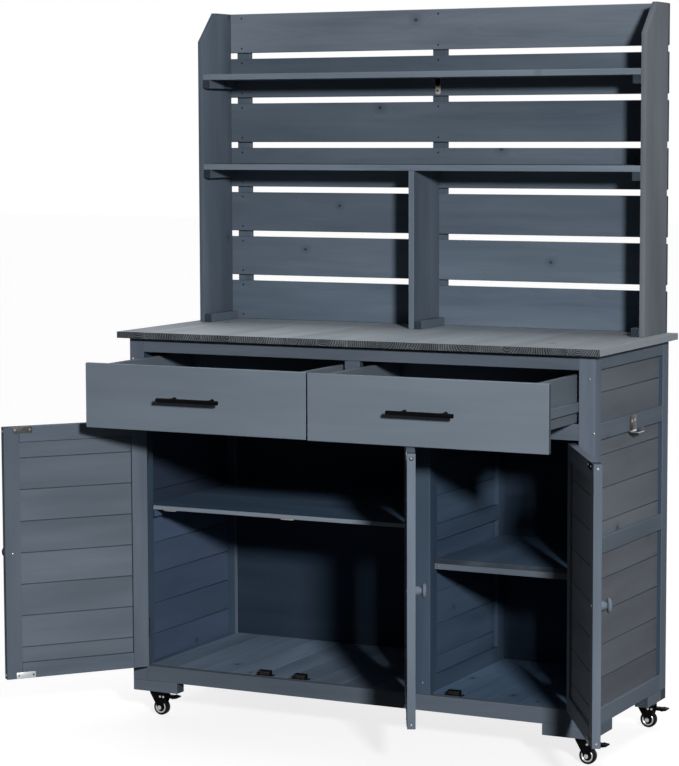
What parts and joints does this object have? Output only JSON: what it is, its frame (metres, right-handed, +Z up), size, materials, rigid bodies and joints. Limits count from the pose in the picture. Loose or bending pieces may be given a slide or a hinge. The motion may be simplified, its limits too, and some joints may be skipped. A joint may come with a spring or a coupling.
{
  "type": "potting bench",
  "caption": "Potting bench on casters: slatted hutch with shelves over a boarded worktop, wide drawers and a panelled cabinet with hinged doors.",
  "frame": {"origin": "on the floor under the middle of the cabinet", "axes": "+X to the right seen from the front, +Y from the front to the slatted back, +Z up; the drawers pull out towards -Y"},
  "size_m": [1.5007, 0.8071, 1.663],
  "materials": {
    "worktop_wood": "thin blue-grey stain, worn, satin",
    "cabinet_wood": "blue-grey stain over fir grain, satin",
    "panel_wood": "blue-grey stain over fir grain, satin",
    "hutch_wood": "blue-grey stain over fir grain, satin",
    "drawer_wood": "lighter blue-grey stain, satin",
    "inner_wood": "dark blue-grey stain, matte",
    "black_metal": "black powder coat",
    "black_plastic": "matte",
    "steel": "zinc plated",
    "hook_steel": "plated sheet",
    "wheel": "black tread on a plated hub"
  },
  "bodies": {
    "cabinet": {"worktop_boards": "worktop_wood", "cabinet_posts": "cabinet_wood", "face_frame": "cabinet_wood", "side_rails": "cabinet_wood", "foot_blocks": "cabinet_wood", "partition_frame": "cabinet_wood", "back_rails": "cabinet_wood", "side_boards": "panel_wood", "back_panel": "panel_wood", "partition_boards": "panel_wood", "floor_boards": "inner_wood", "cabinet_cleats": "inner_wood", "shelf_left": "inner_wood", "shelf_right": "inner_wood", "drawer_guides": "inner_wood", "hutch_side_left": "hutch_wood", "hutch_side_right": "hutch_wood", "hutch_slats": "hutch_wood", "hutch_battens": "hutch_wood", "hutch_shelf_top": "hutch_wood", "hutch_shelf_middle": "hutch_wood", "hutch_divider": "hutch_wood", "hutch_cleats": "hutch_wood", "door_catches": "black_plastic", "hinge_frame_leaves": "steel", "steel_brackets": "steel", "hutch_screws": "steel", "caster_plates": "steel", "tool_hook": "hook_steel"},
    "door_left": {"door_left_frame": "cabinet_wood", "door_left_boards": "panel_wood", "door_left_knob": "cabinet_wood", "door_left_hardware": "steel"},
    "door_middle": {"door_middle_frame": "cabinet_wood", "door_middle_boards": "panel_wood", "door_middle_knob": "cabinet_wood", "door_middle_hardware": "steel"},
    "door_right": {"door_right_frame": "cabinet_wood", "door_right_boards": "panel_wood", "door_right_knob": "cabinet_wood", "door_right_hardware": "steel"},
    "drawer_left": {"drawer_left_front": "drawer_wood", "drawer_left_box": "inner_wood", "drawer_left_handle": "black_metal"},
    "drawer_right": {"drawer_right_front": "drawer_wood", "drawer_right_box": "inner_wood", "drawer_right_handle": "black_metal"},
    "caster_front_left_fork": {"caster_front_left_fork": "black_metal"},
    "caster_front_left_wheel": {"caster_front_left_wheel": "wheel"},
    "caster_front_left_pedal": {"caster_front_left_pedal": "black_metal"},
    "caster_front_right_fork": {"caster_front_right_fork": "black_metal"},
    "caster_front_right_wheel": {"caster_front_right_wheel": "wheel"},
    "caster_front_right_pedal": {"caster_front_right_pedal": "black_metal"},
    "caster_rear_left_fork": {"caster_rear_left_fork": "black_metal"},
    "caster_rear_left_wheel": {"caster_rear_left_wheel": "wheel"},
    "caster_rear_left_pedal": {"caster_rear_left_pedal": "black_metal"},
    "caster_rear_right_fork": {"caster_rear_right_fork": "black_metal"},
    "caster_rear_right_wheel": {"caster_rear_right_wheel": "wheel"},
    "caster_rear_right_pedal": {"caster_rear_right_pedal": "black_metal"}
  },
  "joints": [
    {"name": "door_left_hinge", "type": "hinge", "parent": "cabinet", "child": "door_left", "pos_m": [-0.5418, -0.2357, 0.41795], "axis": [0, 0, -1], "range_deg": [-128.5, 31.5]},
    {"name": "door_middle_hinge", "type": "hinge", "parent": "cabinet", "child": "door_middle", "pos_m": [0.155, -0.2357, 0.41795], "axis": [0, 0, 1], "range_deg": [-116.2, 11.8]},
    {"name": "door_right_hinge", "type": "hinge", "parent": "cabinet", "child": "door_right", "pos_m": [0.5418, -0.2357, 0.41795], "axis": [0, 0, 1], "range_deg": [-120.4, 39.6]},
    {"name": "drawer_left_slide", "type": "slide", "parent": "cabinet", "child": "drawer_left", "axis": [0, -1, 0], "range_m": [-0.203, 0.147]},
    {"name": "drawer_right_slide", "type": "slide", "parent": "cabinet", "child": "drawer_right", "axis": [0, -1, 0], "range_m": [-0.213, 0.137]},
    {"name": "caster_front_left_swivel", "type": "hinge", "parent": "cabinet", "child": "caster_front_left_fork", "pos_m": [-0.54, -0.1925, 0.0566], "axis": [0, 0, 1], "continuous": true},
    {"name": "caster_front_left_spin", "type": "hinge", "parent": "caster_front_left_fork", "child": "caster_front_left_wheel", "pos_m": [-0.526, -0.1925, 0.019], "axis": [0, 1, 0], "continuous": true},
    {"name": "caster_front_left_brake", "type": "hinge", "parent": "caster_front_left_fork", "child": "caster_front_left_pedal", "pos_m": [-0.516, -0.1925, 0.046], "axis": [0, 1, 0], "range_deg": [0, 14]},
    {"name": "caster_front_right_swivel", "type": "hinge", "parent": "cabinet", "child": "caster_front_right_fork", "pos_m": [0.54, -0.1925, 0.0566], "axis": [0, 0, 1], "continuous": true},
    {"name": "caster_front_right_spin", "type": "hinge", "parent": "caster_front_right_fork", "child": "caster_front_right_wheel", "pos_m": [0.554, -0.1925, 0.019], "axis": [0, 1, 0], "continuous": true},
    {"name": "caster_front_right_brake", "type": "hinge", "parent": "caster_front_right_fork", "child": "caster_front_right_pedal", "pos_m": [0.564, -0.1925, 0.046], "axis": [0, 1, 0], "range_deg": [0, 14]},
    {"name": "caster_rear_left_swivel", "type": "hinge", "parent": "cabinet", "child": "caster_rear_left_fork", "pos_m": [-0.54, 0.1925, 0.0566], "axis": [0, 0, 1], "continuous": true},
    {"name": "caster_rear_left_spin", "type": "hinge", "parent": "caster_rear_left_fork", "child": "caster_rear_left_wheel", "pos_m": [-0.526, 0.1925, 0.019], "axis": [0, 1, 0], "continuous": true},
    {"name": "caster_rear_left_brake", "type": "hinge", "parent": "caster_rear_left_fork", "child": "caster_rear_left_pedal", "pos_m": [-0.516, 0.1925, 0.046], "axis": [0, 1, 0], "range_deg": [0, 14]},
    {"name": "caster_rear_right_swivel", "type": "hinge", "parent": "cabinet", "child": "caster_rear_right_fork", "pos_m": [0.54, 0.1925, 0.0566], "axis": [0, 0, 1], "continuous": true},
    {"name": "caster_rear_right_spin", "type": "hinge", "parent": "caster_rear_right_fork", "child": "caster_rear_right_wheel", "pos_m": [0.554, 0.1925, 0.019], "axis": [0, 1, 0], "continuous": true},
    {"name": "caster_rear_right_brake", "type": "hinge", "parent": "caster_rear_right_fork", "child": "caster_rear_right_pedal", "pos_m": [0.564, 0.1925, 0.046], "axis": [0, 1, 0], "range_deg": [0, 14]}
  ]
}
